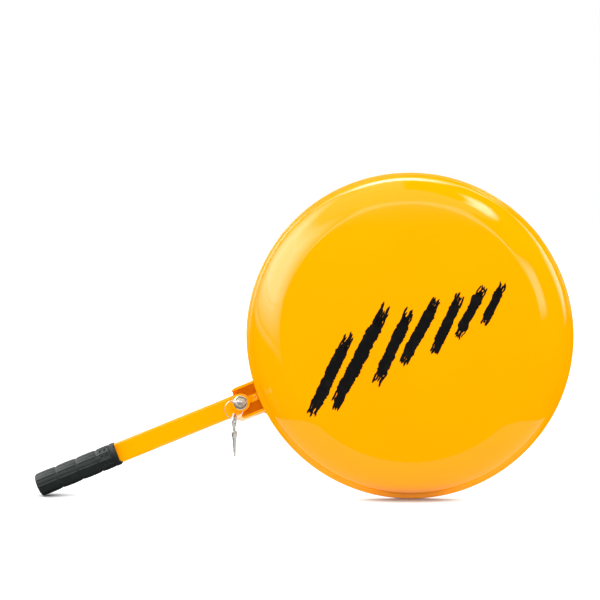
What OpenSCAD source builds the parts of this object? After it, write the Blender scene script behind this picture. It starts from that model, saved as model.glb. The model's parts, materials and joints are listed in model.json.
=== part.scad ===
// Wheel clamp: a pressed steel dish that covers the wheel's bolts, a spine channel bolted behind it,
// a handle with a rubber grip, and a telescopic arm whose rear fork hooks behind the tyre.
// A key-operated cam lock in the end of the spine holds the arm at one of five reaches.
//
// Clamp frame: the dish's axis is Y with the front at -Y, the spine runs along -X, and Y = 0 is the
// rear plane of the dish's rim. U is the distance from the dish's axis along the spine (U = -X).
// The finished clamp is stood on its dish, its grip and its lower finger, with the floor at Z = 0.

/* [Dish] */
// Outside diameter of the dish, over the rolled edge
dish_d = 400; // [380:1:420]
// Depth from the rear rim plane to the front face
dish_depth = 45; // [42:0.5:48]
// Thickness of the pressed sheet
sheet_t = 1.5; // [1.2:0.1:2]
// Diameter of the rolled wire edge
edge_d = 6; // [5:0.5:7]
// Outside radius of the soft crease round the flat face
crease_r = 12; // [9:0.5:14]
// Outside radius of the shoulder
shoulder_r = 47.5; // [44:0.5:50]

/* [Stand] */
// How far the stored clamp leans back on its lower finger, in degrees
lean = 10; // [9:0.5:12]

/* [Spine] */
// Distance from the dish's axis to the lock's axis
lock_u = 223; // [220:0.5:226]
// Width of the spine channel
spine_w = 39.5; // [39:0.5:41]
// Depth of the spine channel
spine_d = 20; // [20:0.5:22]
// Wall thickness of the channel, the saddles and the guide
plate_t = 3; // [2.5:0.5:3]

/* [Handle] */
// Width of the handle tube
handle_w = 25; // [24:0.5:25]
// Depth of the handle tube
handle_d = 12; // [11:0.5:12]
// Distance from the dish's axis to the grip's outer end
grip_end_u = 494; // [480:1:505]
// Length of the rubber grip
grip_l = 106; // [100:1:112]
// Largest diameter of the grip
grip_d = 29.6; // [29.4:0.1:31]

/* [Tyre arm] */
// Side of the square arm and of its stem
bar_w = 22; // [21:0.5:23]
// Clear width between the wheel pad and the rear fingers
jaw_w = 191; // [180:1:200]
// Travel of the arm, which is a whole number of lock pockets
arm_travel = 100; // [75:25:100]
// Distance between neighbouring lock pockets
pocket_pitch = 25; // [24:0.5:25]
// Angle between each rear finger and the spine, in degrees
finger_spread = 57; // [50:1:60]

/* [Lock] */
// Outside diameter of the lock housing
housing_d = 22.4; // [22.2:0.1:23]
// Diameter of the lock's bezel
bezel_d = 17.6; // [17:0.1:18]
// Diameter of the turning plug
plug_d = 12; // [11:0.5:12.5]

/* [Keys] */
// Outside diameter of the key ring
ring_d = 24; // [23:0.5:26]
// Diameter of each key's bow
bow_d = 18; // [17:0.5:18.5]
// Thickness of the sheet part of a key
key_t = 2; // [1.8:0.1:2.2]

/* [Hidden] */
$fn = 64;

yellow = [1.0, 0.70, 0.02];
steel = [0.72, 0.73, 0.75];
brass = [0.80, 0.65, 0.35];
rubber = [0.13, 0.14, 0.14];
pvc = [0.10, 0.10, 0.11];
nylon = [0.85, 0.84, 0.78];

// Dish profile: face, crease, shoulder, short wall and rolled edge.
dish_r = dish_d / 2;
edge_r = edge_d / 2;
edge_ring_r = dish_r - edge_r;
crease_slope = 15;
wall_slope = 80;
shoulder_end_r = dish_r - edge_d;
face_r = shoulder_end_r - shoulder_r * (sin(wall_slope) - sin(crease_slope)) - crease_r * sin(crease_slope);
crease_end = [face_r + crease_r * sin(crease_slope), -dish_depth + crease_r * (1 - cos(crease_slope))];
shoulder_c = crease_end + shoulder_r * [-sin(crease_slope), cos(crease_slope)];
shoulder_end = shoulder_c + shoulder_r * [sin(wall_slope), -cos(wall_slope)];
face_inner_y = sheet_t - dish_depth;

// Layers behind the rim, from front to rear.
fit_gap = 0.15;
seat_gap = 0.05;
spine_y = 0.5;
web_rear_y = spine_y + spine_d;
web_y = web_rear_y - plate_t;
handle_y = web_y - handle_d;
handle_mid_y = web_y - handle_d / 2;
arm_y = web_rear_y + 2 * fit_gap;
arm_rear_y = arm_y + bar_w;
liner_t = 1.5;
liner_y = arm_rear_y + fit_gap;
guide_inner_y = liner_y + liner_t + seat_gap;
guide_rear_y = guide_inner_y + plate_t;
pad_t = 4;
pad_y = guide_rear_y + pad_t;

// Spine channel.
channel_inner_end_u = -110;
channel_end_u = lock_u + 6.6;
tongue_end_u = lock_u + 65;
tongue_w = handle_w - 3;
bend_r = 3.5;
corner_r = 6;

// Saddles between the dish and the channel.
saddle_outer_u = 130;
saddle_inner_u = -75;
saddle_l = 44;
saddle_rear_y = 14;
saddle_bolt_y = 8;
saddle_inside_w = spine_w + 2 * seat_gap;
bolt_d = 8;
bolt_hole_d = 8.4;
bolt_head_af = 13;
bolt_head_h = 5.3;
nut_h = 8;
washer_d = 16;
washer_t = 1.6;
bolt_end_extra = 3;
ear_z = saddle_inside_w / 2 + plate_t;
head_z = ear_z + washer_t;

// Handle and grip.
tube_t = 2;
tube_corner_r = 3;
handle_end_u = grip_end_u - 8;
handle_plug_l = 12;
grip_r = grip_d / 2;
grip_u = grip_end_u - grip_l;
collar_l = 6;
cap_l = 5;
barrel_count = 4;
barrel_l = (grip_l - collar_l - cap_l) / barrel_count;
barrel_r = grip_r - 0.65;
barrel_bulge_r = 100;
rib_count = 10;
rib_r = 1.1;
rib_sink = 0.2;
grip_round_r = 3;
grip_ring_r = grip_r - grip_round_r;
grip_ring_u = grip_end_u - grip_round_r;

// Lock.
housing_y = -1;
housing_bore_d = 16;
body_d = housing_bore_d - 2 * seat_gap;
bezel_y = housing_y - 2;
plug_y = bezel_y - 0.2;
plug_tail_w = 6;
plug_gap = 0.08;
pin_d = 3;
pin_y = 10;
pin_l = 2 * sqrt(pow(housing_d / 2, 2) - pow((body_d + pin_d) / 2, 2));
cam_y = arm_y + 0.5;
cam_t = 4;
cam_l = 20;
cam_w = 8;
cam_rear_y = cam_y + cam_t;
cam_screw_d = 4;
cam_screw_y = cam_rear_y - 4.5;
cam_head_d = 7.5;
cam_head_h = 2.2;
keyway_w = cam_w + 1;
keyway_rear_y = arm_y + 8.5;
pocket_d = cam_l + 2.4;
strap_w = 9;
strap_y = 4;
strap_t = 4;
strap_rear_y = strap_y + strap_t;
strap_u = 165;
strap_screw_us = [lock_u - 19, strap_u + 7];
strap_screw_d = 5;
strap_head_d = 8.5;
strap_head_h = 2.4;
strap_dome_r = 5.6;
strap_socket_af = 3;

// Keys.
key_hole_d = 7.2;
key_neck_w = 5;
key_neck_l = 13;
key_collar_d = 7;
key_collar_l = 7.4;
key_shaft_d = 5.4;
key_shaft_l = 23.4;
key_tip_d = 2.4;
wire_r = 0.8;
hang_gap = 0.25;
bow_reach = key_collar_l + key_neck_l;
key_y = plug_y - 0.5;
bow_y = key_y - bow_reach;
ring_r = ring_d / 2 - wire_r;
key_strip_w = (bow_d - key_hole_d) / 2;
key_strip_x = -(bow_d + key_hole_d) / 4;
ring_drop = sqrt(pow(ring_r - wire_r - hang_gap, 2) - pow(key_strip_w / 2, 2));
spare_drop = key_hole_d / 2 - wire_r - hang_gap;
spare_turn = 9;

// Telescopic arm and rear fork.
guide_u = 60;
guide_end_u = lock_u - 1.5;
guide_half_w = bar_w / 2 + fit_gap + liner_t + seat_gap;
arm_u = 30;
arm_end_u = lock_u + 27;
stem_u = arm_end_u - bar_w;
stem_t = 2.5;
stop_u = 145;
stop_d = 6;
stop_slot_w = 7;
stop_slot_depth = 5;
stop_tip_y = arm_rear_y - stop_slot_depth + 1;
stop_head_d = 11;
stop_head_y = guide_rear_y + 3.2;
stop_socket_af = 4;
finger_d = 14;
sleeve_d = 18;
sleeve_r = sleeve_d / 2;
finger_y = pad_y + jaw_w + sleeve_r;
stem_end_y = finger_y + bar_w / 2;
hub_u = stem_u - 28;
hub_d = 38;
hub_r = hub_d / 2;
socket_depth = 10;
pocket_count = arm_travel / pocket_pitch + 1;

// The stance: the direction that points up, seen from the clamp frame, is [up_x, -sin(lean), up_z].
// up_x is settled so that the dish's edge and the rim of the grip's end meet the same floor.
dish_sole = edge_ring_r * cos(lean) + edge_r + sin(lean) * -edge_r;
function settle(n, x) =
    n == 0 ? x : settle(n - 1, (dish_sole - grip_round_r - grip_ring_r * sqrt(1 - x * x)
        - handle_mid_y * sin(lean)) / grip_ring_u);
up_x = settle(6, 0.37);
spine_tilt = asin(up_x / cos(lean));
// The fingers are as long as the lower one needs to reach that floor.
finger_l = (dish_sole - sleeve_r - hub_u * up_x - finger_y * sin(lean))
    / (cos(lean) * sin(finger_spread - spine_tilt));
finger_top_z = finger_l * sin(finger_spread + spine_tilt) - hub_u * sin(spine_tilt);

// Centre of the box round the stood clamp, in the leaned frame.
box_min_x = -(grip_ring_u * cos(spine_tilt) + grip_ring_r * sin(spine_tilt) + grip_round_r);
box_max_x = dish_r;
box_min_y = (crease_r - dish_depth) * cos(lean) - face_r * sin(lean) - crease_r;
box_max_y = finger_y * cos(lean) + finger_top_z * sin(lean) + sleeve_r;
box_mid_x = (box_min_x + box_max_x) / 2;
box_mid_y = (box_min_y + box_max_y) / 2;

// ---------------------------------------------------------------- placing

// Leans the upright clamp back and puts the middle of its footprint at the origin, on the floor.
module lean_back() {
    translate([-box_mid_x, -box_mid_y, dish_sole])
        rotate([-lean, 0, 0])
            children();
}

// From the clamp frame to the floor.
module stand() {
    lean_back()
        rotate([0, -spine_tilt, 0])
            children();
}

// The lock's axis, with X level: the frame of the key in the lock.
module at_lock() {
    lean_back()
        translate([-lock_u * cos(spine_tilt), 0, -lock_u * sin(spine_tilt)])
            children();
}

// The middle of the key's strip that carries the ring, with Z plumb.
module at_ring() {
    at_lock()
        translate([key_strip_x, bow_y, key_t / 2])
            rotate([lean, 0, 0])
                translate([0, 0, -ring_drop])
                    children();
}

// Extrudes a shape drawn as [depth, height] along the spine from u0 to u1.
module along_spine(u0, u1) {
    translate([-u1, 0, 0])
        rotate([90, 0, 90])
            linear_extrude(u1 - u0)
                children();
}

// Extrudes a shape drawn as [X, Z] from depth y0 to depth y1.
module slab(y0, y1) {
    translate([0, y1, 0])
        rotate([90, 0, 0])
            linear_extrude(y1 - y0)
                children();
}

// A round bar along the depth at distance u on the spine.
module rod_y(u, y0, y1, d) {
    translate([-u, y0, 0])
        rotate([-90, 0, 0])
            cylinder(h = y1 - y0, d = d);
}

// A hexagonal bar along the depth, af across its flats.
module hex_socket(u, y0, y1, af) {
    translate([-u, y0, 0])
        rotate([-90, 0, 0])
            cylinder(h = y1 - y0, d = af / cos(30), $fn = 6);
}

// ---------------------------------------------------------------- shapes

module rounded_rect(x, y, r) {
    square([x - 2 * r, y], center = true);
    square([x, y - 2 * r], center = true);
    for (sx = [-1, 1], sy = [-1, 1])
        translate([sx * (x / 2 - r), sy * (y / 2 - r)])
            circle(r);
}

// A flat bar with round ends.
module slot_shape(l, w) {
    square([l - w, w], center = true);
    for (s = [-1, 1])
        translate([s * (l - w) / 2, 0])
            circle(d = w);
}

// The slice of a disc of radius r round c between slopes a0 and a1 of its surface.
module slope_sector(c, r, a0, a1) {
    reach = 2 * r;
    translate(c)
        intersection() {
            circle(r);
            polygon([
                [0, 0],
                reach * [sin(a0), -cos(a0)],
                reach * [sin((a0 + a1) / 2), -cos((a0 + a1) / 2)],
                reach * [sin(a1), -cos(a1)]
            ]);
        }
}

// A U of bent plate, open towards -Y, drawn as [depth, height].
module u_section(w, y0, y1, t, r) {
    difference() {
        u_outline(w, y0, y1, r);
        u_outline(w - 2 * t, y0 - 1, y1 - t, max(r - t, 0.3));
    }
}

module u_outline(w, y0, y1, r) {
    translate([y0, -w / 2])
        square([y1 - y0 - r, w]);
    translate([y0, r - w / 2])
        square([y1 - y0, w - 2 * r]);
    for (s = [-1, 1])
        translate([y1 - r, s * (w / 2 - r)])
            circle(r);
}

// A flat key in the XY plane with its bow towards -Y; Y = 0 is where the shaft leaves the collar.
module flat_key() {
    difference() {
        union() {
            translate([0, -bow_reach, 0])
                cylinder(h = key_t, d = bow_d, center = true);
            translate([-key_neck_w / 2, bow_d / 2 - 1 - bow_reach, -key_t / 2])
                cube([key_neck_w, key_neck_l + 1 - bow_d / 2, key_t]);
        }
        translate([0, -bow_reach, 0])
            cylinder(h = 2 * key_t, d = key_hole_d, center = true);
    }
    rotate([90, 0, 0])
        cylinder(h = key_collar_l, d = key_collar_d);
    rotate([-90, 0, 0])
        cylinder(h = key_shaft_l, d1 = key_shaft_d, d2 = key_tip_d);
}

// ---------------------------------------------------------------- dish and its saddles

// Everything inside the dish's surface up to depth top_y, drawn as [radius, depth].
module dish_region(inset, top_y) {
    crease_point = crease_end + inset * [-sin(crease_slope), cos(crease_slope)];
    shoulder_point = shoulder_end + inset * [-sin(wall_slope), cos(wall_slope)];
    wall_l = (top_y - shoulder_point[1]) / sin(wall_slope);
    polygon([
        [0, inset - dish_depth],
        [face_r, inset - dish_depth],
        crease_point,
        shoulder_point,
        shoulder_point + wall_l * [cos(wall_slope), sin(wall_slope)],
        [0, top_y]
    ]);
    slope_sector([face_r, crease_r - dish_depth], crease_r - inset, 0, crease_slope);
    slope_sector(shoulder_c, shoulder_r - inset, crease_slope, wall_slope);
}

module dish_profile() {
    difference() {
        dish_region(0, -edge_r);
        dish_region(sheet_t, edge_r);
    }
    translate([edge_ring_r, -edge_r])
        circle(edge_r);
}

module dish() {
    color(yellow)
        stand()
            rotate([-90, 0, 0])
                rotate_extrude()
                    dish_profile();
}

// A bent saddle: its base is welded inside the dish and its two ears hold the channel.
module saddle(u) {
    color(yellow)
        stand()
            difference() {
                translate([-u - saddle_l / 2, 0, 0])
                    rotate([90, 0, 90])
                        linear_extrude(saddle_l)
                            mirror([1, 0])
                                u_section(saddle_inside_w + 2 * plate_t, -saddle_rear_y,
                                    -face_inner_y, plate_t, bend_r + 1);
                translate([-u, saddle_bolt_y, 0])
                    cylinder(h = 2 * spine_w, d = bolt_hole_d, center = true);
            }
}

// Repeats the fasteners at both saddles.
module each_saddle_bolt() {
    for (u = [saddle_outer_u, saddle_inner_u])
        translate([-u, saddle_bolt_y, 0])
            children();
}

module saddle_bolts() {
    color(steel)
        stand()
            each_saddle_bolt() {
                translate([0, 0, head_z])
                    cylinder(h = bolt_head_h, d = bolt_head_af / cos(30), $fn = 6);
                translate([0, 0, -head_z - nut_h - bolt_end_extra])
                    cylinder(h = 2 * head_z + nut_h + bolt_end_extra, d = bolt_d);
            }
}

module saddle_washers() {
    color(steel)
        stand()
            each_saddle_bolt()
                for (s = [-1, 1])
                    translate([0, 0, s * (ear_z + washer_t / 2)])
                        difference() {
                            cylinder(h = washer_t, d = washer_d, center = true);
                            cylinder(h = 2 * washer_t, d = bolt_hole_d, center = true);
                        }
}

module saddle_nuts() {
    color(steel)
        stand()
            each_saddle_bolt()
                translate([0, 0, -head_z - nut_h])
                    difference() {
                        cylinder(h = nut_h, d = bolt_head_af / cos(30), $fn = 6);
                        translate([0, 0, -1])
                            cylinder(h = nut_h + 2, d = bolt_d);
                    }
}

// ---------------------------------------------------------------- spine and arm guide

// The channel seen from the front: rounded corners at its outer end, and a narrow weld tongue.
module spine_outline() {
    translate([-channel_end_u + corner_r, -spine_w / 2])
        square([channel_end_u - corner_r - channel_inner_end_u, spine_w]);
    translate([-channel_end_u, corner_r - spine_w / 2])
        square([corner_r + 1, spine_w - 2 * corner_r]);
    for (s = [-1, 1])
        translate([corner_r - channel_end_u, s * (spine_w / 2 - corner_r)])
            circle(corner_r);
}

module spine_channel() {
    color(yellow)
        stand()
            difference() {
                union() {
                    intersection() {
                        along_spine(channel_inner_end_u, channel_end_u)
                            u_section(spine_w, spine_y, web_rear_y, plate_t, bend_r);
                        slab(spine_y - 1, web_rear_y + 1)
                            spine_outline();
                    }
                    translate([-tongue_end_u, web_y, -tongue_w / 2])
                        cube([tongue_end_u - channel_end_u + 1, plate_t, tongue_w]);
                }
                rod_y(lock_u, web_y - 1, web_rear_y + 1, housing_bore_d);
                for (u = strap_screw_us)
                    rod_y(u, web_y - 1, web_rear_y + 1, strap_screw_d);
                each_saddle_bolt()
                    cylinder(h = 2 * spine_w, d = bolt_hole_d, center = true);
            }
}

module arm_guide() {
    color(yellow)
        stand()
            difference() {
                along_spine(guide_u, guide_end_u)
                    u_section(2 * (guide_half_w + plate_t), web_rear_y, guide_rear_y, plate_t, bend_r);
                rod_y(stop_u, guide_inner_y - 1, guide_rear_y + 1, stop_d);
            }
}

module glide_liner() {
    color(nylon)
        stand()
            difference() {
                along_spine(guide_u + 1, guide_end_u - 1)
                    difference() {
                        translate([arm_y, -bar_w / 2 - fit_gap - liner_t])
                            square([liner_y + liner_t - arm_y, bar_w + 2 * (fit_gap + liner_t)]);
                        translate([arm_y - 1, -bar_w / 2 - fit_gap])
                            square([liner_y - arm_y + 1, bar_w + 2 * fit_gap]);
                    }
                rod_y(stop_u, liner_y - 1, guide_inner_y + 1, stop_d + 0.4);
            }
}

// The rubber strip that rests on the tyre.
module wheel_pad() {
    color(rubber)
        stand()
            difference() {
                slab(guide_rear_y, pad_y)
                    translate([-(guide_u + guide_end_u) / 2, 0])
                        rounded_rect(guide_end_u - guide_u - 8, 2 * guide_half_w, 4);
                rod_y(stop_u, guide_rear_y - 1, pad_y + 1, stop_head_d + 3);
            }
}

// Runs in the slot of the arm's rear face and keeps the arm from pulling out.
module stop_screw() {
    color(steel)
        stand()
            difference() {
                union() {
                    rod_y(stop_u, stop_tip_y, guide_rear_y + 1, stop_d - 2 * seat_gap);
                    rod_y(stop_u, guide_rear_y, stop_head_y, stop_head_d);
                }
                hex_socket(stop_u, stop_head_y - 2, stop_head_y + 1, stop_socket_af);
            }
}

// ---------------------------------------------------------------- handle and grip

// The handle's section, drawn as [depth, height].
module handle_section(inset) {
    translate([handle_mid_y, 0])
        rounded_rect(handle_d - 2 * inset, handle_w - 2 * inset, tube_corner_r - inset);
}

module handle_tube() {
    color(yellow)
        stand()
            difference() {
                along_spine(lock_u, handle_end_u)
                    difference() {
                        handle_section(0);
                        handle_section(tube_t);
                    }
                rod_y(lock_u, handle_y - 1, web_y + 1, housing_d);
            }
}

module handle_plug() {
    color(pvc)
        stand()
            along_spine(handle_end_u - handle_plug_l, handle_end_u)
                handle_section(tube_t + seat_gap);
}

// Half of the grip's outline, drawn as [radius, U].
module grip_outline() {
    translate([0, grip_u])
        square([grip_r, collar_l]);
    for (i = [0 : barrel_count - 1])
        intersection() {
            translate([0, grip_u + collar_l + i * barrel_l])
                square([grip_r, barrel_l]);
            translate([barrel_r - barrel_bulge_r, grip_u + collar_l + (i + 0.5) * barrel_l])
                circle(barrel_bulge_r, $fn = 720);
        }
    translate([0, grip_end_u - cap_l])
        square([grip_r, cap_l - grip_round_r]);
    translate([0, grip_end_u - cap_l])
        square([grip_ring_r, cap_l]);
    translate([grip_ring_r, grip_ring_u])
        circle(grip_round_r);
}

module grip() {
    color(rubber)
        stand()
            difference() {
                union() {
                    translate([0, handle_mid_y, 0])
                        rotate([0, -90, 0])
                            rotate_extrude()
                                grip_outline();
                    for (i = [0 : rib_count - 1])
                        translate([0, handle_mid_y, 0])
                            rotate([(i + 0.5) * 360 / rib_count, 0, 0])
                                translate([-grip_ring_u, grip_r - rib_sink - rib_r, 0])
                                    rotate([0, 90, 0])
                                        cylinder(h = grip_l - grip_round_r - 1, r = rib_r);
                }
                along_spine(grip_u - 1, handle_end_u + seat_gap)
                    handle_section(-seat_gap);
            }
}

// ---------------------------------------------------------------- lock

module lock_housing() {
    color(yellow)
        stand()
            difference() {
                rod_y(lock_u, housing_y, web_y, housing_d);
                rod_y(lock_u, housing_y - 1, web_y + 1, housing_bore_d);
                pin_hole();
            }
}

// The cross hole that the roll pin fills: half in the housing, half in the lock's body.
module pin_hole() {
    translate([-lock_u + body_d / 2, pin_y, 0])
        cylinder(h = housing_d, d = pin_d, center = true);
}

// Ties the housing to the spine.
module lock_strap() {
    color(yellow)
        stand()
            difference() {
                translate([-lock_u, strap_y, -strap_w / 2])
                    cube([lock_u - strap_u, strap_t, strap_w]);
                rod_y(lock_u, strap_y - 1, strap_rear_y + 1, housing_d);
                for (u = strap_screw_us)
                    rod_y(u, strap_y - 1, strap_rear_y + 1, strap_screw_d);
            }
}

module strap_spacers() {
    color(steel)
        stand()
            for (u = strap_screw_us)
                difference() {
                    rod_y(u, strap_rear_y, web_y, strap_w);
                    rod_y(u, strap_rear_y - 1, web_y + 1, strap_screw_d);
                }
}

// A domed screw with a hexagon socket.
module strap_screws() {
    color(yellow)
        stand()
            for (u = strap_screw_us)
                difference() {
                    union() {
                        rod_y(u, strap_y - 1, web_rear_y, strap_screw_d - 2 * seat_gap);
                        intersection() {
                            rod_y(u, strap_y - strap_head_h, strap_y, strap_head_d);
                            translate([-u, strap_y - strap_head_h + strap_dome_r, 0])
                                sphere(strap_dome_r);
                        }
                    }
                    hex_socket(u, strap_y - strap_head_h - 1, strap_y - 1, strap_socket_af);
                }
}

module lock_body() {
    color(steel)
        stand()
            difference() {
                union() {
                    rod_y(lock_u, bezel_y + 1, web_rear_y - 0.3, body_d);
                    translate([-lock_u, bezel_y, 0])
                        rotate([-90, 0, 0]) {
                            cylinder(h = 0.8, d1 = bezel_d - 1.6, d2 = bezel_d);
                            translate([0, 0, 0.8])
                                cylinder(h = housing_y - bezel_y - 0.8, d = bezel_d);
                        }
                }
                rod_y(lock_u, bezel_y - 1, web_rear_y + 1, plug_d + 2 * plug_gap);
                pin_hole();
            }
}

module lock_pin() {
    color(steel)
        stand()
            translate([-lock_u + body_d / 2, pin_y, 0])
                cylinder(h = pin_l, d = pin_d, center = true);
}

module lock_plug() {
    color(brass)
        stand()
            difference() {
                union() {
                    rod_y(lock_u, plug_y, web_rear_y, plug_d);
                    translate([-lock_u - plug_tail_w / 2, web_rear_y, -plug_tail_w / 2])
                        cube([plug_tail_w, cam_rear_y - web_rear_y, plug_tail_w]);
                }
                rod_y(lock_u, plug_y - 1, key_y + key_shaft_l + 0.4, key_shaft_d + 0.3);
                rod_y(lock_u, cam_screw_y, cam_rear_y + 1, cam_screw_d);
            }
}

// The tongue lies along the spine when the lock is open and crosses a pocket when it is shut.
module lock_cam() {
    color(steel)
        stand()
            difference() {
                slab(cam_y, cam_rear_y)
                    translate([-lock_u, 0])
                        slot_shape(cam_l, cam_w);
                translate([-lock_u - plug_tail_w / 2, cam_y - 1, -plug_tail_w / 2])
                    cube([plug_tail_w, cam_t + 2, plug_tail_w]);
            }
}

module cam_screw() {
    color(steel)
        stand()
            difference() {
                union() {
                    rod_y(lock_u, cam_screw_y + 0.5, cam_rear_y + 0.5, cam_screw_d - 2 * seat_gap);
                    rod_y(lock_u, cam_rear_y, cam_rear_y + cam_head_h, cam_head_d);
                }
                translate([-lock_u - cam_head_d, cam_rear_y + cam_head_h - 0.9, -0.5])
                    cube([2 * cam_head_d, 1, 1]);
            }
}

// ---------------------------------------------------------------- keys

module key() {
    color(steel)
        at_lock()
            translate([0, key_y, 0])
                flat_key();
}

module key_ring() {
    color(steel)
        at_ring()
            rotate([90, 0, 0])
                rotate_extrude()
                    translate([ring_r, 0])
                        circle(wire_r);
}

// Hangs from the bottom of the ring, turned almost edge-on to the front.
module spare_key() {
    color(steel)
        at_ring()
            translate([0, 0, -ring_r - spare_drop])
                rotate([0, 0, 90 - spare_turn])
                    rotate([90, 0, 0])
                        rotate([0, 0, 180])
                            translate([0, bow_reach, 0])
                                flat_key();
}

// ---------------------------------------------------------------- telescopic arm and rear fork

module arm_bar() {
    color(yellow)
        stand()
            difference() {
                translate([-arm_end_u, arm_y, -bar_w / 2])
                    cube([arm_end_u - arm_u, bar_w, bar_w]);
                slab(arm_y - 1, keyway_rear_y) {
                    translate([arm_travel / 2 - lock_u, 0])
                        square([arm_travel, keyway_w], center = true);
                    for (i = [0 : pocket_count - 1])
                        translate([i * pocket_pitch - lock_u, 0])
                            circle(d = pocket_d);
                }
                slab(arm_rear_y - stop_slot_depth, arm_rear_y + 1)
                    translate([arm_travel / 2 - stop_u, 0])
                        slot_shape(arm_travel + stop_slot_w, stop_slot_w);
            }
}

// A square tube from the arm's outer end to behind the tyre, shut at its rear end.
module arm_stem() {
    color(yellow)
        stand()
            difference() {
                slab(arm_rear_y, stem_end_y)
                    translate([-stem_u - bar_w / 2, 0])
                        rounded_rect(bar_w, bar_w, tube_corner_r);
                slab(arm_rear_y - 1, stem_end_y - stem_t)
                    translate([-stem_u - bar_w / 2, 0])
                        rounded_rect(bar_w - 2 * stem_t, bar_w - 2 * stem_t, 1);
            }
}

// Puts a shape whose Z runs along the finger; side is 1 for the upper finger and -1 for the lower.
module at_finger(side) {
    translate([-hub_u, finger_y, 0])
        rotate([0, 90 - side * finger_spread, 0])
            children();
}

module fork_hub() {
    color(yellow)
        stand()
            difference() {
                union() {
                    rod_y(hub_u, stem_end_y - bar_w, stem_end_y, hub_d);
                    translate([-stem_u - 1, stem_end_y - bar_w, -bar_w / 2])
                        cube([stem_u + 1 - hub_u, bar_w, bar_w]);
                }
                translate([-arm_end_u, stem_end_y - bar_w - 1, -bar_w])
                    cube([bar_w, bar_w + 2, 2 * bar_w]);
                for (side = [-1, 1])
                    at_finger(side)
                        translate([0, 0, hub_r - socket_depth])
                            cylinder(h = socket_depth + 1, d = finger_d);
            }
}

module finger(side) {
    color(yellow)
        stand()
            at_finger(side)
                translate([0, 0, hub_r - socket_depth])
                    cylinder(h = finger_l - hub_r + socket_depth, d = finger_d);
}

// A soft sleeve pushed over a finger, with a domed end.
module sleeve(side) {
    color(pvc)
        stand()
            at_finger(side)
                difference() {
                    union() {
                        translate([0, 0, hub_r + 2])
                            cylinder(h = finger_l - hub_r - 2, d = sleeve_d);
                        translate([0, 0, finger_l])
                            sphere(d = sleeve_d);
                    }
                    translate([0, 0, hub_r])
                        cylinder(h = finger_l - hub_r, d = finger_d);
                }
}

// ---------------------------------------------------------------- what is drawn

dish();
saddle(saddle_outer_u);  // saddle_outer
saddle(saddle_inner_u);  // saddle_inner
saddle_bolts();
saddle_washers();
saddle_nuts();
spine_channel();
arm_guide();
glide_liner();
wheel_pad();
stop_screw();
handle_tube();
handle_plug();
grip();
lock_housing();
lock_strap();
strap_spacers();
strap_screws();
lock_body();
lock_pin();
lock_plug();
lock_cam();
cam_screw();
key();
key_ring();
spare_key();
arm_bar();
arm_stem();
fork_hub();
finger(1);  // finger_upper
finger(-1);  // finger_lower
sleeve(1);  // sleeve_upper
sleeve(-1);  // sleeve_lower
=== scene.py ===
"""Looks of the wheel clamp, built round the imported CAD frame. Lengths are in metres."""
import json
import math

import bmesh
import bpy
from mathutils import Matrix, Vector, noise


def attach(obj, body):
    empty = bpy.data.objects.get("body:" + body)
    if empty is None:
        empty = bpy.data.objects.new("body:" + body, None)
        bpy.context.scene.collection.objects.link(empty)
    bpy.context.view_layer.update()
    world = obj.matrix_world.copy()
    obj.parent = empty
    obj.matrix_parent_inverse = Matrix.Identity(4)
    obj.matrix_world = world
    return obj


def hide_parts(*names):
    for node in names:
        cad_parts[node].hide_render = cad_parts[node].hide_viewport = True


MM = 0.001

# Sizes of the clamp that the looks need, from the CAD model. The radii of the dish's edge and shoulder
# differ a little from it, as they follow the look of the real one.
DISH_R = 200 * MM
DISH_DEPTH = 45 * MM
SHEET = 1.5 * MM
EDGE_R = 2.5 * MM
COVE_R = 4.5 * MM
CREASE_R = 12 * MM
SHOULDER_R = 52 * MM
CREASE_SLOPE = math.radians(15)
WALL_SLOPE = math.radians(80)
HANDLE_MID_Y = 11.5 * MM
HANDLE_HALF_W = 12.55 * MM
HANDLE_HALF_D = 6.05 * MM
HANDLE_CORNER_R = 3 * MM
HANDLE_END_U = 486.1 * MM
GRIP_R = 14.1 * MM
GRIP_START_U = 388 * MM
GRIP_END_U = 494 * MM
GRIP_ROUND = 3 * MM
WIRE_R = 0.42 * MM
RING_R = 11.2 * MM
KEY_Y = -3.7 * MM
KEY_T = 2 * MM
BOW_R = 9 * MM
KEY_HOLE_R = 3.6 * MM
KEY_NECK_HALF_W = 2.5 * MM
BOW_REACH = 20.4 * MM
COLLAR_L = 7.4 * MM
COLLAR_R = 3.5 * MM
SHAFT_L = 23.4 * MM
SHAFT_R = 2.7 * MM
SHAFT_TIP_R = 1.2 * MM
SPARE_DROP = 2.55 * MM
SPARE_TURN = math.radians(9)


# ---------------------------------------------------------------- frame

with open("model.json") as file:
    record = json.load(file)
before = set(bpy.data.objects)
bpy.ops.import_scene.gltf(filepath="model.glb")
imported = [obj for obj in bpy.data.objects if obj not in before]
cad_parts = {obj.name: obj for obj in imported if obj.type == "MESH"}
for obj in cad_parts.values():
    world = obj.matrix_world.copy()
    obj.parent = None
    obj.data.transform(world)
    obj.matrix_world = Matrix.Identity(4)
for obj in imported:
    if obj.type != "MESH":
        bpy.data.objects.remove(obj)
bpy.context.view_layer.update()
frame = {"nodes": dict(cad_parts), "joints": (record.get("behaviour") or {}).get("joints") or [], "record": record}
joints = {j["name"]: j for j in frame["joints"]}
mounts = {m["name"]: m for m in frame["record"]["mounts"]}

BACK = Vector(joints["plug_turn"]["axis"]).normalized()
OUT = Vector(joints["arm_slide"]["axis"]).normalized()
RIGHT = -OUT
UP = RIGHT.cross(BACK)
LOCK = Vector(joints["plug_turn"]["pos_m"])
ORIGIN = Vector(mounts["dish_face"]["pos_m"]) + BACK * DISH_DEPTH


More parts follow.
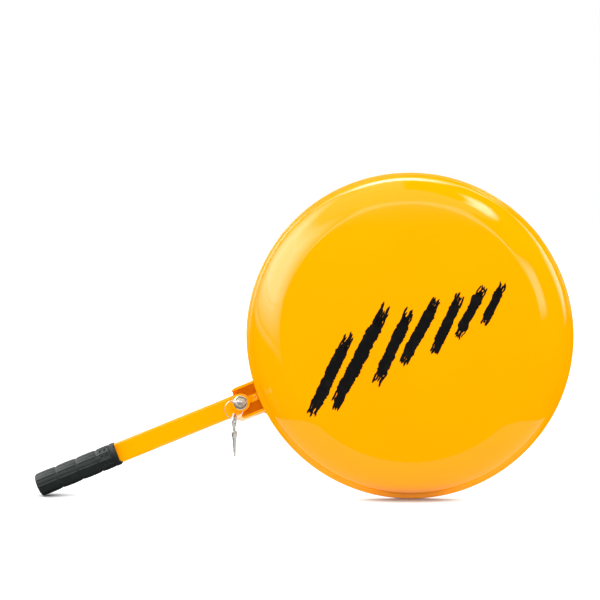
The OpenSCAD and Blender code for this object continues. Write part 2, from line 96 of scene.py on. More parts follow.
def clamp_matrix(at=(0, 0, 0)):
    """From the clamp frame (X against the spine, Y along the dish's axis) to the row frame."""
    turn = Matrix((RIGHT, BACK, UP)).transposed().to_4x4()
    return Matrix.Translation(ORIGIN + turn.to_3x3() @ Vector(at)) @ turn


def level_matrix(point):
    """A frame at a point with X level, Y along the dish's axis and Z across it."""
    x = Vector((1, 0, 0))
    turn = Matrix((x, BACK, x.cross(BACK))).transposed().to_4x4()
    return Matrix.Translation(point) @ turn


# ---------------------------------------------------------------- mesh helpers

def new_object(name, verts, faces, matrix=None):
    """A mesh object from points and faces, linked to the scene."""
    mesh = bpy.data.meshes.new(name)
    mesh.from_pydata([tuple(v) for v in verts], [], faces)
    if matrix is not None:
        mesh.transform(matrix)
    mesh.update()
    obj = bpy.data.objects.new(name, mesh)
    bpy.context.scene.collection.objects.link(obj)
    return obj


def clean(obj, merge=0.00001):
    """Merges doubled points and turns all faces outwards."""
    bm = bmesh.new()
    bm.from_mesh(obj.data)
    bmesh.ops.remove_doubles(bm, verts=bm.verts, dist=merge)
    bmesh.ops.recalc_face_normals(bm, faces=bm.faces)
    bm.to_mesh(obj.data)
    bm.free()


def smooth(obj, angle=35):
    """Smooth shading with sharp edges above an angle in degrees."""
    obj.data.shade_smooth()
    obj.data.set_sharp_from_angle(angle=math.radians(angle))


def lathe(name, profile, segments, matrix=None):
    """Turns a profile of (radius, depth) points, which starts and ends on the Y axis, round it."""
    verts = []
    for radius, depth in profile:
        for i in range(segments):
            a = math.tau * i / segments
            verts.append((radius * math.cos(a), depth, radius * math.sin(a)))
    faces = []
    for row in range(len(profile) - 1):
        below = row * segments
        above = below + segments
        for i in range(segments):
            j = (i + 1) % segments
            faces.append((below + i, below + j, above + j, above + i))
    obj = new_object(name, verts, faces, matrix)
    clean(obj)
    return obj


def tube(name, points, radius, sides):
    """A round wire along a path, with a frame carried from ring to ring."""
    count = len(points)
    verts = []
    normal = (points[1] - points[0]).normalized().orthogonal().normalized()
    for i, point in enumerate(points):
        along = (points[min(i + 1, count - 1)] - points[max(i - 1, 0)]).normalized()
        normal = (normal - along * normal.dot(along)).normalized()
        side = along.cross(normal)
        for k in range(sides):
            a = math.tau * k / sides
            verts.append(point + (normal * math.cos(a) + side * math.sin(a)) * radius)
    last = (count - 1) * sides
    faces = [tuple(range(sides)), tuple(range(last, last + sides))]
    for first in range(0, last, sides):
        for k in range(sides):
            m = (k + 1) % sides
            faces.append((first + k, first + m, first + sides + m, first + sides + k))
    obj = new_object(name, verts, faces)
    clean(obj)
    smooth(obj, 60)
    return obj


# ---------------------------------------------------------------- materials

def ramp(tree, value, start, end, low, high):
    """A node that turns the range start to end into low to high."""
    node = tree.nodes.new("ShaderNodeMapRange")
    for socket, number in zip(("From Min", "From Max", "To Min", "To Max"), (start, end, low, high)):
        node.inputs[socket].default_value = number
    tree.links.new(value, node.inputs["Value"])
    return node.outputs["Result"]


class Paint:
    """A Principled material with short calls for its procedural detail."""

    def __init__(self, name, color, roughness, metallic=0.0):
        """Starts from plain values. Object coordinates are the row frame's, as no object is moved."""
        self.material = bpy.data.materials.new(name)
        self.material.use_nodes = True
        self.tree = self.material.node_tree
        self.shader = self.tree.nodes["Principled BSDF"]
        self.shader.inputs["Base Color"].default_value = (*color, 1)
        self.shader.inputs["Roughness"].default_value = roughness
        self.shader.inputs["Metallic"].default_value = metallic
        self.place = self.node("ShaderNodeTexCoord").outputs["Object"]

    def node(self, kind, **settings):
        """Adds a node with its properties set."""
        node = self.tree.nodes.new(kind)
        for key, value in settings.items():
            setattr(node, key, value)
        return node

    def set(self, **values):
        """Sets shader sockets by name, such as coat_ior for Coat IOR."""
        for key, value in values.items():
            socket = key.replace("_", " ").title().replace("Ior", "IOR")
            self.shader.inputs[socket].default_value = value

    def noise(self, size, detail=2.0, stretch=(1, 1, 1)):
        """Noise whose features are about size metres across."""
        mapping = self.node("ShaderNodeMapping")
        mapping.inputs["Scale"].default_value = stretch
        self.tree.links.new(self.place, mapping.inputs["Vector"])
        texture = self.node("ShaderNodeTexNoise")
        texture.inputs["Scale"].default_value = 1 / size
        texture.inputs["Detail"].default_value = detail
        self.tree.links.new(mapping.outputs["Vector"], texture.inputs["Vector"])
        return texture.outputs["Fac"]

    def remap(self, value, low, high, start=0.0, end=1.0):
        """Turns the range low to high into start to end, and holds it there."""
        return ramp(self.tree, value, low, high, start, end)

    def height(self, low, high, drift):
        """How far up the object a point is, from 0 to 1, with cloudy drift in it."""
        split = self.node("ShaderNodeSeparateXYZ")
        self.tree.links.new(self.place, split.inputs["Vector"])
        total = self.node("ShaderNodeMath", operation="ADD")
        self.tree.links.new(self.remap(split.outputs["Z"], low, high), total.inputs[0])
        clouds = self.remap(self.noise(0.09, 3), 0.3, 0.7, -drift / 2, drift / 2)
        self.tree.links.new(clouds, total.inputs[1])
        return total.outputs["Value"]

    def mix(self, factor, first, second):
        """Blends two colours by a factor and feeds the base colour."""
        node = self.node("ShaderNodeMix", data_type="RGBA")
        ends = [socket for socket in node.inputs if socket.type == "RGBA"]
        for socket, color in zip(ends, (first, second)):
            socket.default_value = (*color, 1)
        self.tree.links.new(factor, node.inputs["Factor"])
        result = next(socket for socket in node.outputs if socket.type == "RGBA")
        self.tree.links.new(result, self.shader.inputs["Base Color"])

    def rough(self, value):
        """Feeds the roughness."""
        self.tree.links.new(value, self.shader.inputs["Roughness"])

    def bump(self, *layers, bevel=0.0):
        """Stacks bump layers of (height, distance in metres) over an optional rounded edge."""
        normal = None
        if bevel:
            node = self.node("ShaderNodeBevel", samples=6)
            node.inputs["Radius"].default_value = bevel
            normal = node.outputs["Normal"]
        for height, distance in layers:
            node = self.node("ShaderNodeBump")
            node.inputs["Strength"].default_value = 1
            node.inputs["Distance"].default_value = distance
            self.tree.links.new(height, node.inputs["Height"])
            if normal is not None:
                self.tree.links.new(normal, node.inputs["Normal"])
            normal = node.outputs["Normal"]
        self.tree.links.new(normal, self.shader.inputs["Normal"])
        return normal


YELLOW = (0.97, 0.340, 0.0)
YELLOW_DEEP = (0.93, 0.316, 0.0)
# The paler yellow is painted light: the enamel turns to it towards the top, between the two heights below, as if
# lit more from above.
YELLOW_PAINTED_TOP_LIGHT = (0.98, 0.368, 0.0)
PAINTED_LIGHT_BOTTOM_Z = 0.03
PAINTED_LIGHT_TOP_Z = 0.39


def enamel(name, low, high, bevel=0.0, orange_peel=0.00002):
    """Glossy stove enamel, a little paler towards the top as painted light from above, with orange peel and a
    clear top layer.
    """
    paint = Paint(name, low, 0.42)
    # Painted light: the colour pales from low to high up the object, as if lit more from above. The cloudy drift
    # in the height is random tone.
    paint.mix(paint.height(PAINTED_LIGHT_BOTTOM_Z, PAINTED_LIGHT_TOP_Z, drift=0.25), low, high)
    paint.rough(paint.remap(paint.noise(0.02, 4), 0.3, 0.7, 0.36, 0.48))
    paint.set(coat_weight=0.45, coat_roughness=0.045, coat_ior=1.5, specular_ior_level=0.0)
    fine = paint.noise(0.0016, 1)
    broad = paint.noise(0.05, 1)
    normal = paint.bump((fine, orange_peel), (broad, orange_peel * 6), bevel=bevel)
    paint.tree.links.new(normal, paint.shader.inputs["Coat Normal"])
    return paint.material


def plated(name, color, roughness, scratches=0.000004, bevel=0.00025, metallic=0.7):
    """Plated steel with fine scratches and a few dull patches."""
    paint = Paint(name, color, roughness, metallic)
    dull = tuple(0.82 * c for c in color)
    paint.mix(paint.remap(paint.noise(0.006, 4), 0.45, 0.8), color, dull)
    paint.rough(paint.remap(paint.noise(0.003, 5), 0.3, 0.75, roughness, roughness + 0.16))
    lines = paint.noise(0.0009, 3, stretch=(1, 1, 14))
    paint.bump((lines, scratches), bevel=bevel)
    return paint.material


def moulded(name, color, worn, roughness, grain):
    """Rubber or vinyl with a fine moulded grain and a paler bloom."""
    paint = Paint(name, color, roughness)
    paint.set(specular_ior_level=0.16)
    paint.mix(paint.remap(paint.noise(0.012, 5), 0.45, 0.8), color, worn)
    paint.rough(paint.remap(paint.noise(0.004, 4), 0.3, 0.7, roughness - 0.07, roughness + 0.1))
    paint.bump((paint.noise(0.0007, 2), grain), (paint.noise(0.007, 2), grain * 3))
    return paint.material


def ink(name):
    """Screen-printed black with a dry, slightly uneven surface."""
    black = (0.003, 0.003, 0.003)
    dusty = (0.008, 0.007, 0.006)
    paint = Paint(name, black, 0.5)
    paint.set(specular_ior_level=0.03)
    paint.mix(paint.remap(paint.noise(0.01, 4), 0.5, 0.8), black, dusty)
    paint.rough(paint.remap(paint.noise(0.002, 4), 0.3, 0.7, 0.42, 0.6))
    paint.bump((paint.noise(0.0008, 3), 0.00001))
    return paint.material


def dress(obj, material):
    """Gives an object one material."""
    obj.data.materials.clear()
    obj.data.materials.append(material)


MATERIALS = {
    "yellow_paint": enamel("yellow enamel on bar and plate", YELLOW, YELLOW_PAINTED_TOP_LIGHT, bevel=0.0011),
    "zinc_steel": plated("zinc plate", (0.78, 0.79, 0.80), 0.28),
    "lock_chrome": plated("lock chrome", (0.70, 0.64, 0.52), 0.14, bevel=0.0002, metallic=0.85),
    "plug_brass": plated("plug brass", (0.62, 0.55, 0.42), 0.24, bevel=0.0001, metallic=0.6),
    "key_nickel": plated("key nickel", (0.50, 0.48, 0.45), 0.22, bevel=0.0, metallic=0.75),
    "grip_rubber": moulded("grip rubber", (0.0105, 0.0140, 0.0132), (0.016, 0.0205, 0.0195), 0.46, 0.00002),
    "black_pvc": moulded("black vinyl", (0.016, 0.016, 0.018), (0.026, 0.026, 0.027), 0.36, 0.00001),
    "nylon": moulded("natural nylon", (0.72, 0.70, 0.62), (0.66, 0.63, 0.54), 0.42, 0.00001),
}
DISH_ENAMEL = enamel("yellow enamel on the dish", YELLOW_DEEP, YELLOW_PAINTED_TOP_LIGHT, orange_peel=0.000008)
INK = ink("black print")

node_slots = {part["node"]: part["material_slot"] for part in frame["record"]["subparts"]}
for node_name, node_object in frame["nodes"].items():
    dress(node_object, MATERIALS[node_slots[node_name]])


# ---------------------------------------------------------------- dish

def dish_points():
    """Centres of the circles that shape the crease, the shoulder and the edge bead."""
    wall_r = DISH_R - 2 * EDGE_R
    face_r = (wall_r - SHOULDER_R * (math.sin(WALL_SLOPE) - math.sin(CREASE_SLOPE))
              - CREASE_R * math.sin(CREASE_SLOPE))
    crease = Vector((face_r, CREASE_R - DISH_DEPTH))
    crease_end = crease + CREASE_R * Vector((math.sin(CREASE_SLOPE), -math.cos(CREASE_SLOPE)))
    shoulder = crease_end + SHOULDER_R * Vector((-math.sin(CREASE_SLOPE), math.cos(CREASE_SLOPE)))
    bead = Vector((DISH_R - EDGE_R, -EDGE_R))
    return crease, shoulder, bead


def arc(centre, radius, start, end, steps):
    """Points of an arc between two directions, given as angles from the dish's radius."""
    turn = (end - start) / steps
    return [centre + radius * Vector((math.cos(start + turn * i), math.sin(start + turn * i)))
            for i in range(steps + 1)]


def surface_angle(slope):
    """Direction of the outward normal where the surface slopes back by an angle."""
    return slope - math.pi / 2


def angle_of(vector):
    """Direction of a flat vector."""
    return math.atan2(vector.y, vector.x)


def dish_profile(inset):
    """The pressed surface from its middle to the end of the shoulder, inset from the outside."""
    crease, shoulder, _ = dish_points()
    rings = 24
    flat = surface_angle(0)
    tipped = surface_angle(CREASE_SLOPE)
    steep = surface_angle(WALL_SLOPE)
    points = [Vector((crease.x * i / rings, inset - DISH_DEPTH)) for i in range(rings)]
    points += arc(crease, CREASE_R - inset, flat, tipped, 8)
    points += arc(shoulder, SHOULDER_R - inset, tipped, steep, 44)[1:]
    return points


def cove_between(first, first_r, second, second_r, cove_r):
    """Centre of the hollow that joins two round shapes on the front side."""
    a = first_r + cove_r
    b = second_r + cove_r
    apart = (second - first).length
    along = (a * a - b * b + apart * apart) / (2 * apart)
    across = math.sqrt(a * a - along * along)
    ahead = (second - first).normalized()
    return first + ahead * along + Vector((ahead.y, -ahead.x)) * across


EDGE_ROLL_END = math.radians(160)
DISH_AROUND = 288


def make_dish():
    """The pressed sheet with its rolled edge, turned as one closed surface."""
    _, shoulder, bead = dish_points()
    cove = cove_between(shoulder, SHOULDER_R, bead, EDGE_R, COVE_R)
    meets_shoulder = angle_of(cove - shoulder)
    outside = [p for p in dish_profile(0) if angle_of(p - shoulder) < meets_shoulder or p.x < shoulder.x]
    hollow = arc(cove, COVE_R, angle_of(shoulder - cove), angle_of(bead - cove), 14)
    edge = arc(bead, EDGE_R, angle_of(cove - bead), EDGE_ROLL_END, 32)
    inside = dish_profile(SHEET)
    dish = lathe("dish_skin", outside + hollow + edge[1:] + inside[::-1], DISH_AROUND, clamp_matrix())
    smooth(dish, 40)
    dress(dish, DISH_ENAMEL)
    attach(dish, "clamp")
    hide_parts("dish")


make_dish()


# ---------------------------------------------------------------- grip

GRIP_SEGMENTS = (28 * MM, 27 * MM, 26 * MM, 19 * MM)
SEGMENT_SWELL = 0.75 * MM
COLLAR_RISE = 0.45 * MM
COLLAR_ROUND = 0.6 * MM
RIDGE_ANGLES = [math.radians(24 + 36 * i) for i in range(10)]
RIDGE_HALF_ANGLE = math.radians(7)
RIDGE_RISE = 0.6 * MM
POCKET_ROWS = (7.5 * MM, 13.5 * MM)
POCKET_HALF_ANGLE = math.radians(9)
POCKET_HALF_L = 2.2 * MM
POCKET_DEPTH = 0.8 * MM
TAB_ANGLE = math.radians(-70)
TAB_HALF_ANGLE = math.radians(16)
TAB_L = 2.6 * MM
END_DIMPLE_R = 8 * MM
END_DIMPLE_DEPTH = 0.5 * MM


def bump_at(distance, half_width):
    """1 in the middle of a raised line and 0 beyond its width, with soft flanks."""
    x = min(abs(distance) / half_width, 1.0)
    return 0.5 + 0.5 * math.cos(math.pi * x)


def angle_between(a, b):
    """How far one direction is past another, from minus to plus half a turn."""
    return (a - b + math.pi) % math.tau - math.pi


def bore_radius(angle):
    """Reach of the handle tube's rounded section in a direction round the grip's axis."""
    c = abs(math.cos(angle))
    s = abs(math.sin(angle))
    flat_d = HANDLE_HALF_D - HANDLE_CORNER_R
    flat_w = HANDLE_HALF_W - HANDLE_CORNER_R
    if c > 1e-6 and HANDLE_HALF_D / c * s <= flat_w:
        return HANDLE_HALF_D / c
    if s > 1e-6 and HANDLE_HALF_W / s * c <= flat_d:
        return HANDLE_HALF_W / s
    along = c * flat_d + s * flat_w
    return along + math.sqrt(along ** 2 - flat_d ** 2 - flat_w ** 2 + HANDLE_CORNER_R ** 2)


def grip_radius(u, angle):
    """Outside of the grip: four swelling segments crossed by ten low ridges, and a plain collar."""
    from_end = GRIP_END_U - u
    start = 0.0
    for length in GRIP_SEGMENTS:
        if from_end <= start + length:
            break
        start += length
    else:
        return GRIP_R + COLLAR_RISE
    t = (from_end - start) / length
    swell = 4 * t * (1 - t)
    radius = GRIP_R - SEGMENT_SWELL + SEGMENT_SWELL * swell ** 0.6
    ridge = max(bump_at(angle_between(angle, a), RIDGE_HALF_ANGLE) for a in RIDGE_ANGLES)
    radius += RIDGE_RISE * ridge * min(1.0, 4 * swell)
    if length == GRIP_SEGMENTS[-1]:
        for row in POCKET_ROWS:
            for a in RIDGE_ANGLES:
                across = abs(angle_between(angle, a + math.radians(18))) / POCKET_HALF_ANGLE
                along = abs(from_end - start - row) / POCKET_HALF_L
                if across < 1 and along < 1:
                    radius -= POCKET_DEPTH * (1 - across ** 4) * (1 - along ** 4)
    return radius


def make_grip():
    """The moulded sleeve with its bore and a small tab, as one closed surface along the spine."""
    around = 360
    steps = 210
    round_steps = 8
    angles = [math.tau * i / around for i in range(around)]
    mouth = [GRIP_START_U - TAB_L * bump_at(angle_between(a, TAB_ANGLE), TAB_HALF_ANGLE) for a in angles]
    start = GRIP_START_U + COLLAR_ROUND
    end = GRIP_END_U - GRIP_ROUND
    rows = [[(HANDLE_END_U, 0.0)] * around,
            [(HANDLE_END_U, bore_radius(a)) for a in angles],
            [(u, bore_radius(a)) for u, a in zip(mouth, angles)],
            [(u, grip_radius(GRIP_START_U, a) - COLLAR_ROUND) for u, a in zip(mouth, angles)]]
    for k in range(steps + 1):
        u = start + (end - start) * k / steps
        rows.append([(u, grip_radius(u, a)) for a in angles])
    for k in range(1, round_steps + 1):
        turn = math.pi / 2 * k / round_steps
        u = end + GRIP_ROUND * math.sin(turn)
        rows.append([(u, grip_radius(end, a) - GRIP_ROUND * (1 - math.cos(turn))) for a in angles])
    rows.append([(GRIP_END_U - END_DIMPLE_DEPTH, END_DIMPLE_R)] * around)
    rows.append([(GRIP_END_U - END_DIMPLE_DEPTH, 0.0)] * around)
    verts = []
    for row in rows:
        for (u, r), a in zip(row, angles):
            verts.append((-u, HANDLE_MID_Y - r * math.cos(a), r * math.sin(a)))
    faces = []
    for k in range(len(rows) - 1):
        for i in range(around):
            j = (i + 1) % around
            faces.append((k * around + i, k * around + j, (k + 1) * around + j, (k + 1) * around + i))
    grip = new_object("grip_sleeve", verts, faces, clamp_matrix())
    clean(grip)
    smooth(grip, 50)
    dress(grip, MATERIALS["grip_rubber"])
    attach(grip, "clamp")
    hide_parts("grip")


make_grip()


# ---------------------------------------------------------------- keys and ring

BOW_ROUND = 0.3 * MM
COLLAR_OVERLAP = 1 * MM
COLLAR_CHAMFER = 0.6 * MM
PLAIN_SHAFT_L = 2 * MM
SHAFT_CORE_R = 0.5 * MM
GROOVE_SHARE = 0.26
NOTCH_SHARE = 0.4
NOTCH_FROM_TIP = 4.5 * MM
NOTCH_HALF_L = 1.6 * MM


def key_blade(name):
    """The stamped bow and neck, with the ring's hole and rolled edges."""
    curve = bpy.data.curves.new(name, "CURVE")
    curve.dimensions = "2D"
    curve.fill_mode = "BOTH"
    curve.extrude = KEY_T / 2 - BOW_ROUND
    curve.bevel_depth = BOW_ROUND
    curve.bevel_resolution = 2
    curve.offset = -BOW_ROUND
    neck_start = math.asin(KEY_NECK_HALF_W / BOW_R)
    outline = [(KEY_NECK_HALF_W, COLLAR_OVERLAP - COLLAR_L)]
    for i in range(65):
        a = math.pi / 2 - neck_start - (math.tau - 2 * neck_start) * i / 64
        outline.append((BOW_R * math.cos(a), BOW_R * math.sin(a) - BOW_REACH))
    outline.append((-KEY_NECK_HALF_W, COLLAR_OVERLAP - COLLAR_L))
    hole = []
    for i in range(40):
        a = math.tau * i / 40
        hole.append((KEY_HOLE_R * math.cos(a), KEY_HOLE_R * math.sin(a) - BOW_REACH))
    for points in (outline, hole):
        spline = curve.splines.new("POLY")
        spline.points.add(len(points) - 1)
        for point, (x, y) in zip(spline.points, points):
            point.co = (x, y, 0, 1)
        spline.use_cyclic_u = True
    holder = bpy.data.objects.new(name, curve)
    bpy.context.scene.collection.objects.link(holder)
    bpy.context.view_layer.update()
    mesh = bpy.data.meshes.new_from_object(holder.evaluated_get(bpy.context.evaluated_depsgraph_get()))
    bpy.data.objects.remove(holder)
    obj = bpy.data.objects.new(name, mesh)
    bpy.context.scene.collection.objects.link(obj)
    clean(obj)
    return obj


def key_shank(name):
    """The turned collar and the tapering shaft with its two cut grooves and a notch near the tip."""
    profile = [(0, -COLLAR_L), (COLLAR_R - COLLAR_CHAMFER, -COLLAR_L),
               (COLLAR_R, COLLAR_CHAMFER - COLLAR_L), (COLLAR_R, -2.4 * MM), (3.1 * MM, -0.4 * MM),
               (SHAFT_R, 0)]
    for i in range(1, 40):
        t = i / 40
        profile.append((SHAFT_R - (SHAFT_R - SHAFT_TIP_R) * t ** 0.8, SHAFT_L * t))
    profile += [(0.8 * MM, SHAFT_L - 0.2 * MM), (0, SHAFT_L)]
    shank = lathe(name, profile, 48)
    for vertex in shank.data.vertices:
        x, y, z = vertex.co
        if y > PLAIN_SHAFT_L and math.hypot(x, z) > SHAFT_CORE_R:
            angle = math.atan2(z, x)
            groove = max(bump_at(angle_between(angle, a), 0.5) for a in (math.pi / 2, -math.pi / 2))
            groove *= min(1.0, (y - PLAIN_SHAFT_L) / PLAIN_SHAFT_L)
            notch = bump_at(y - SHAFT_L + NOTCH_FROM_TIP, NOTCH_HALF_L)
            notch *= bump_at(angle_between(angle, 0), 1.2)
            scale = 1 - GROOVE_SHARE * groove - NOTCH_SHARE * notch
            vertex.co.x *= scale
            vertex.co.z *= scale
    shank.data.update()
    return shank


def join(name, pieces):
    """Puts several meshes into one object."""
    joined = bmesh.new()
    for piece in pieces:
        joined.from_mesh(piece.data)
        bpy.data.objects.remove(piece)
    mesh = bpy.data.meshes.new(name)
    joined.to_mesh(mesh)
    joined.free()
    obj = bpy.data.objects.new(name, mesh)
    bpy.context.scene.collection.objects.link(obj)
    return obj


def make_key(name, body, matrix, node):
    """A whole key in the place of a CAD key. Its shaft starts at the matrix's origin."""
    key = join(name, [key_blade(name + "_blade"), key_shank(name + "_shank")])
    key.data.transform(matrix)
    smooth(key, 40)
    dress(key, MATERIALS["key_nickel"])
    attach(key, body)
    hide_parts(node)


def make_keys():
    """One key stands in the lock; the other hangs from the ring, almost edge-on."""
    make_key("key_in_lock", "key", level_matrix(LOCK) @ Matrix.Translation((0, KEY_Y, 0)), "key")
    hole = Vector(joints["spare_swing"]["pos_m"]) - Vector((0, 0, SPARE_DROP))
    hang = (Matrix.Translation(hole) @ Matrix.Rotation(math.pi / 2 - SPARE_TURN, 4, "Z")
            @ Matrix.Rotation(math.pi / 2, 4, "X") @ Matrix.Rotation(math.pi, 4, "Z")
            @ Matrix.Translation((0, BOW_REACH, 0)))
    make_key("key_on_ring", "spare", hang, "spare_key")


def make_ring():
    """A split ring: two turns of wire side by side, with a short cross-over."""
    centre = Vector(joints["spare_swing"]["pos_m"]) + Vector((0, 0, RING_R))
    points = []
    steps = 360
    cross_over = 0.3
    first_end = 0.6
    for i in range(steps + 1):
        a = cross_over + (2 * math.tau - 2 * cross_over) * i / steps
        t = min(max((a - math.tau + cross_over) / (2 * cross_over), 0), 1)
        side = WIRE_R * (2 * t * t * (3 - 2 * t) - 1)
        around = a + first_end
        points.append(centre + Vector((RING_R * math.cos(around), side, RING_R * math.sin(around))))
    ring = tube("split_ring", points, WIRE_R, sides=12)
    dress(ring, MATERIALS["key_nickel"])
    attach(ring, "ring")
    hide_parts("key_ring")


make_keys()
make_ring()


# ---------------------------------------------------------------- print on the face

# Each stroke's place across the face and up it, its length, slant in degrees and width.
STROKES = (
    (-108 * MM, -12 * MM, 88 * MM, 48, 14.5 * MM),
    (-66 * MM, -5 * MM, 110 * MM, 50, 16.0 * MM),
    (-25 * MM, -9 * MM, 80 * MM, 47, 14.0 * MM),
    (11 * MM, -4 * MM, 72 * MM, 50, 13.5 * MM),
    (45 * MM, -8 * MM, 60 * MM, 47, 12.5 * MM),
    (77 * MM, -5 * MM, 55 * MM, 50, 12.0 * MM),
    (105 * MM, -7 * MM, 43 * MM, 48, 10.5 * MM),
)
BRISTLES = 5
BRISTLE_SPREAD = 0.86
BRISTLE_START = 0.13
PRINT_STEP = 0.7 * MM
PRINT_BEND = 1.6 * MM
TEAR_SIZE = 9 * MM
FINE_TEAR_SIZE = 1.8 * MM
PRINT_T = 0.13 * MM
PRINT_GAP = 0.01 * MM
PRINT_LAYER = 0.02 * MM
PRINT_LEAST_HALF_W = 0.05 * MM


def rough_ribbon(foot, along, length, half_width, seed, ragged=1.0):
    """Outline of a stroke with torn edges and pointed ends: up its left edge and down its right."""
    across = Vector((along.y, -along.x))
    steps = max(int(length / PRINT_STEP), 12)
    left = []
    right = []
    for i in range(steps + 1):
        t = i / steps
        taper = min(1.0, (t / 0.10) ** 0.6 if t else 0.0, ((1 - t) / 0.16) ** 0.6)
        bend = PRINT_BEND * noise.noise(Vector((t * 2.2, seed, 3.0)))
        middle = foot + along * (length * t) + across * bend
        for side, edge in ((-1, left), (1, right)):
            tear = noise.noise(Vector((t * length / TEAR_SIZE, seed + side, 0)))
            fine = noise.noise(Vector((t * length / FINE_TEAR_SIZE, seed + side, 7)))
            reach = half_width * taper * (1 + ragged * (0.22 * tear + 0.16 * fine))
            edge.append(middle + across * side * max(reach, PRINT_LEAST_HALF_W))
    return left + right[::-1]


def print_shapes():
    """Slanted brush marks whose ends break up into bristle marks of uneven length."""
    shapes = []
    for k, (x, y, length, slant, width) in enumerate(STROKES):
        tilt = math.radians(slant)
        along = Vector((math.sin(tilt), math.cos(tilt)))
        across = Vector((along.y, -along.x))
        foot = Vector((x, y)) - along * length / 2
        shapes.append(rough_ribbon(foot, along, length, width / 2, 11.3 * k))
        for w in range(BRISTLES):
            offset = across * width * BRISTLE_SPREAD * ((w + 0.5) / BRISTLES - 0.5)
            for end, way in ((foot, -1), (foot + along * length, 1)):
                chance = 0.5 + 0.5 * noise.noise(Vector((k * 2.3, w * 1.7, way * 3.1)) * 1.9)
                reach = (0.03 + 0.20 * chance ** 1.5) * length + 3 * MM
                thickness = width * (0.05 + 0.07 * chance)
                start = end + offset - along * way * BRISTLE_START * length
                shapes.append(rough_ribbon(start, along * way, 0.10 * length + reach, thickness,
                                           5.1 * k + w + way, 1.6))
    return shapes


def make_print():
    """Thin film on the flat face of the dish. Strokes that overlap end at different heights."""
    verts = []
    faces = []
    for n, shape in enumerate(print_shapes()):
        front = len(verts)
        count = len(shape)
        back = front + count
        lift = PRINT_LAYER * (n % 4)
        for depth in (PRINT_GAP + PRINT_T + lift, PRINT_GAP):
            verts += [(p.x, -DISH_DEPTH - depth, p.y) for p in shape]
        for i in range(count // 2 - 1):
            j = count - 1 - i
            faces.append((front + i, front + i + 1, front + j - 1, front + j))
            faces.append((back + j, back + j - 1, back + i + 1, back + i))
        for i in range(count):
            j = (i + 1) % count
            faces.append((front + j, front + i, back + i, back + j))
    film = new_object("face_print", verts, faces, clamp_matrix())
    clean(film, 0.000001)
    dress(film, INK)
    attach(film, "clamp")


make_print()


# ---------------------------------------------------------------- camera, light and stage

CAMERA_LENS = 98.26
CAMERA_SENSOR = 36
CAMERA_FROM_DISH = Vector((-0.0397, -2.0, 0.2195))
CAMERA_PAN = math.radians(2.69)
CAMERA_PITCH = math.radians(5.04)
CAMERA_ROLL = math.radians(-0.52)


def make_camera():
    """A little above the dish's centre and turned towards the handle, almost square to the face."""
    data = bpy.data.cameras.new("camera")
    data.lens = CAMERA_LENS
    data.sensor_width = CAMERA_SENSOR
    camera = bpy.data.objects.new("camera", data)
    bpy.context.scene.collection.objects.link(camera)
    camera.location = ORIGIN + CAMERA_FROM_DISH
    pan = Matrix.Rotation(CAMERA_PAN, 4, "Z")
    pitch = Matrix.Rotation(math.pi / 2 - CAMERA_PITCH, 4, "X")
    roll = Matrix.Rotation(CAMERA_ROLL, 4, "Z")
    camera.rotation_euler = (pan @ pitch @ roll).to_euler()
    bpy.context.scene.camera = camera


make_camera()


# The lamps and walls of the studio, which only show in reflections: name, azimuths and elevations in
# degrees as seen from the dish, radiance at the first and the last azimuth, and share of soft edge.
STUDIO_R = 5.0
LIGHT_PATCHES = (
    ("left_low", (27, 160), (2, 22), (6.5, 3.5), 0.3),
    ("left_high", (24, 156), (6, 58), (15.5, 6.5), 0.3),
    ("top_cap", (-62, 180), (52, 90), (1.3, 1.3), 0.02),
    ("front_top", (-33, 27), (19, 60), (4.5, 4.5), 0.15),
    ("right_front", (-62, -30), (14, 34), (7.5, 7.0), 0.25),
    ("right_back", (-160, -114), (0, 26), (3.0, 4.6), 0.25),
    ("right_lamp", (-130, -50), (53, 68), (17.0, 17.0), 0.3),
    ("back_strip", (150, 200), (32, 54), (12.0, 12.0), 0.35),
    ("back_low", (150, 206), (0, 34), (2.2, 2.2), 0.1),
)
FLOOR_HALF_W = 6.0
FLOOR_GREY = (0.45, 0.45, 0.45)
FLOOR_GLOW = 0.8
# How far the painted contact shadow on the floor reaches.
PAINTED_SHADOW_REACH = 0.03
LIT_FLOOR_X = (-0.3, 0.3)
LIT_FLOOR_Y = (-0.62, 0.6)
LIT_FLOOR_RADIANCE = 1.15
ZENITH_STRENGTH = 2.2


def between(ends, share):
    """A number part of the way from the first end to the second."""
    return ends[0] + (ends[1] - ends[0]) * share


def direction(azimuth, elevation):
    """A direction from the dish: azimuth 0 is towards the front and grows to the left."""
    a = math.radians(azimuth)
    e = math.radians(elevation)
    return Vector((-math.sin(a) * math.cos(e), -math.cos(a) * math.cos(e), math.sin(e)))


def only_in_reflections(obj, material):
    """Makes a stage object that lights the glossy coats and shows nowhere else."""
    dress(obj, material)
    obj.visible_camera = False
    obj.visible_diffuse = False
    obj.visible_shadow = False


def emission(name, radiance):
    """A material that shines evenly."""
    material = bpy.data.materials.new(name)
    material.use_nodes = True
    tree = material.node_tree
    tree.nodes.clear()
    output = tree.nodes.new("ShaderNodeOutputMaterial")
    shader = tree.nodes.new("ShaderNodeEmission")
    shader.inputs["Strength"].default_value = radiance
    tree.links.new(shader.outputs["Emission"], output.inputs["Surface"])
    return material


def soft_emission(name, radiances, edge):
    """Shines from the first to the last radiance along U and fades out at the edges of the UV map."""
    material = emission(name, radiances[0])
    tree = material.node_tree
    place = tree.nodes.new("ShaderNodeUVMap")
    split = tree.nodes.new("ShaderNodeSeparateXYZ")
    tree.links.new(place.outputs["UV"], split.inputs["Vector"])
    strength = ramp(tree, split.outputs["X"], 0, 1, *radiances)
    for axis in ("X", "Y"):
        for start, end in ((0, edge), (1, 1 - edge)):
            product = tree.nodes.new("ShaderNodeMath")
            product.operation = "MULTIPLY"
            tree.links.new(strength, product.inputs[0])
            tree.links.new(ramp(tree, split.outputs[axis], start, end, 0, 1), product.inputs[1])
            strength = product.outputs["Value"]
    tree.links.new(strength, tree.nodes["Emission"].inputs["Strength"])
    return material


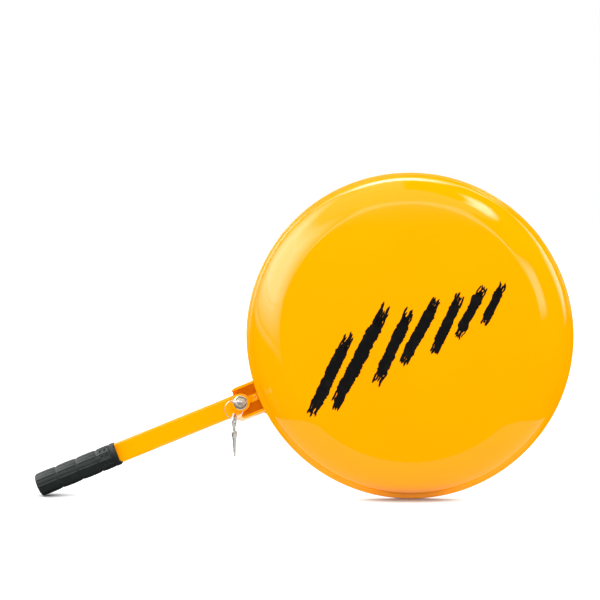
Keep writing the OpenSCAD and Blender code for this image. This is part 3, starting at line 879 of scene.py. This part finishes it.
def light_patch(name, azimuths, elevations, radiances, edge):
    """Part of a big sphere round the dish, with soft edges."""
    around = 48
    up = 16
    row = up + 1
    verts = []
    for i in range(around + 1):
        for k in range(row):
            ray = direction(between(azimuths, i / around), between(elevations, k / up))
            verts.append(ORIGIN + ray * STUDIO_R)
    faces = []
    for i in range(around):
        for k in range(up):
            corner = i * row + k
            faces.append((corner, corner + row, corner + row + 1, corner + 1))
    patch = new_object(name, verts, faces)
    layer = patch.data.uv_layers.new(name="across")
    for loop in patch.data.loops:
        i, k = divmod(loop.vertex_index, row)
        layer.data[loop.index].uv = (i / around, k / up)
    only_in_reflections(patch, soft_emission(name, radiances, edge))


def level_sheet(name, xs, ys):
    """A flat rectangle on the ground."""
    corners = [(xs[0], ys[0], 0), (xs[1], ys[0], 0), (xs[1], ys[1], 0), (xs[0], ys[1], 0)]
    return new_object(name, corners, [(0, 1, 2, 3)])


def make_world():
    """White all round and brighter overhead. Reflections see the light patches instead."""
    world = bpy.data.worlds.new("studio")
    bpy.context.scene.world = world
    world.use_nodes = True
    tree = world.node_tree
    place = tree.nodes.new("ShaderNodeTexCoord")
    split = tree.nodes.new("ShaderNodeSeparateXYZ")
    tree.links.new(place.outputs["Generated"], split.inputs["Vector"])
    background = tree.nodes["Background"]
    background.inputs["Color"].default_value = (1, 1, 1, 1)
    strength = ramp(tree, split.outputs["Z"], 0.2, 1, 1.0, ZENITH_STRENGTH)
    tree.links.new(strength, background.inputs["Strength"])
    world.cycles_visibility.glossy = False


def make_floor():
    """A white floor that glows, with its glow cut near contacts as painted contact shadow on top of the real
    shadow there, and the lit part of it that the enamel reflects.
    """
    whole = (-FLOOR_HALF_W, FLOOR_HALF_W)
    floor = level_sheet("floor", whole, whole)
    paint = Paint("floor", FLOOR_GREY, 0.9)
    paint.set(specular_ior_level=0.0, emission_color=(1, 1, 1, 1))
    # Painted contact shadow: ambient occlusion turns the floor's glow down where things stand close.
    painted_contact_shadow = paint.node("ShaderNodeAmbientOcclusion", samples=12)
    painted_contact_shadow.inputs["Distance"].default_value = PAINTED_SHADOW_REACH
    glow_with_painted_shadow = paint.remap(painted_contact_shadow.outputs["AO"], 0.32, 0.64, 0.0, FLOOR_GLOW)
    paint.tree.links.new(glow_with_painted_shadow, paint.shader.inputs["Emission Strength"])
    dress(floor, paint.material)
    floor.visible_glossy = False
    lit = level_sheet("lit_floor", [ORIGIN.x + x for x in LIT_FLOOR_X], [ORIGIN.y + y for y in LIT_FLOOR_Y])
    only_in_reflections(lit, emission("lit_floor", LIT_FLOOR_RADIANCE))


make_world()
make_floor()
for patch_settings in LIGHT_PATCHES:
    light_patch(*patch_settings)
bpy.context.scene.view_settings.view_transform = "Standard"
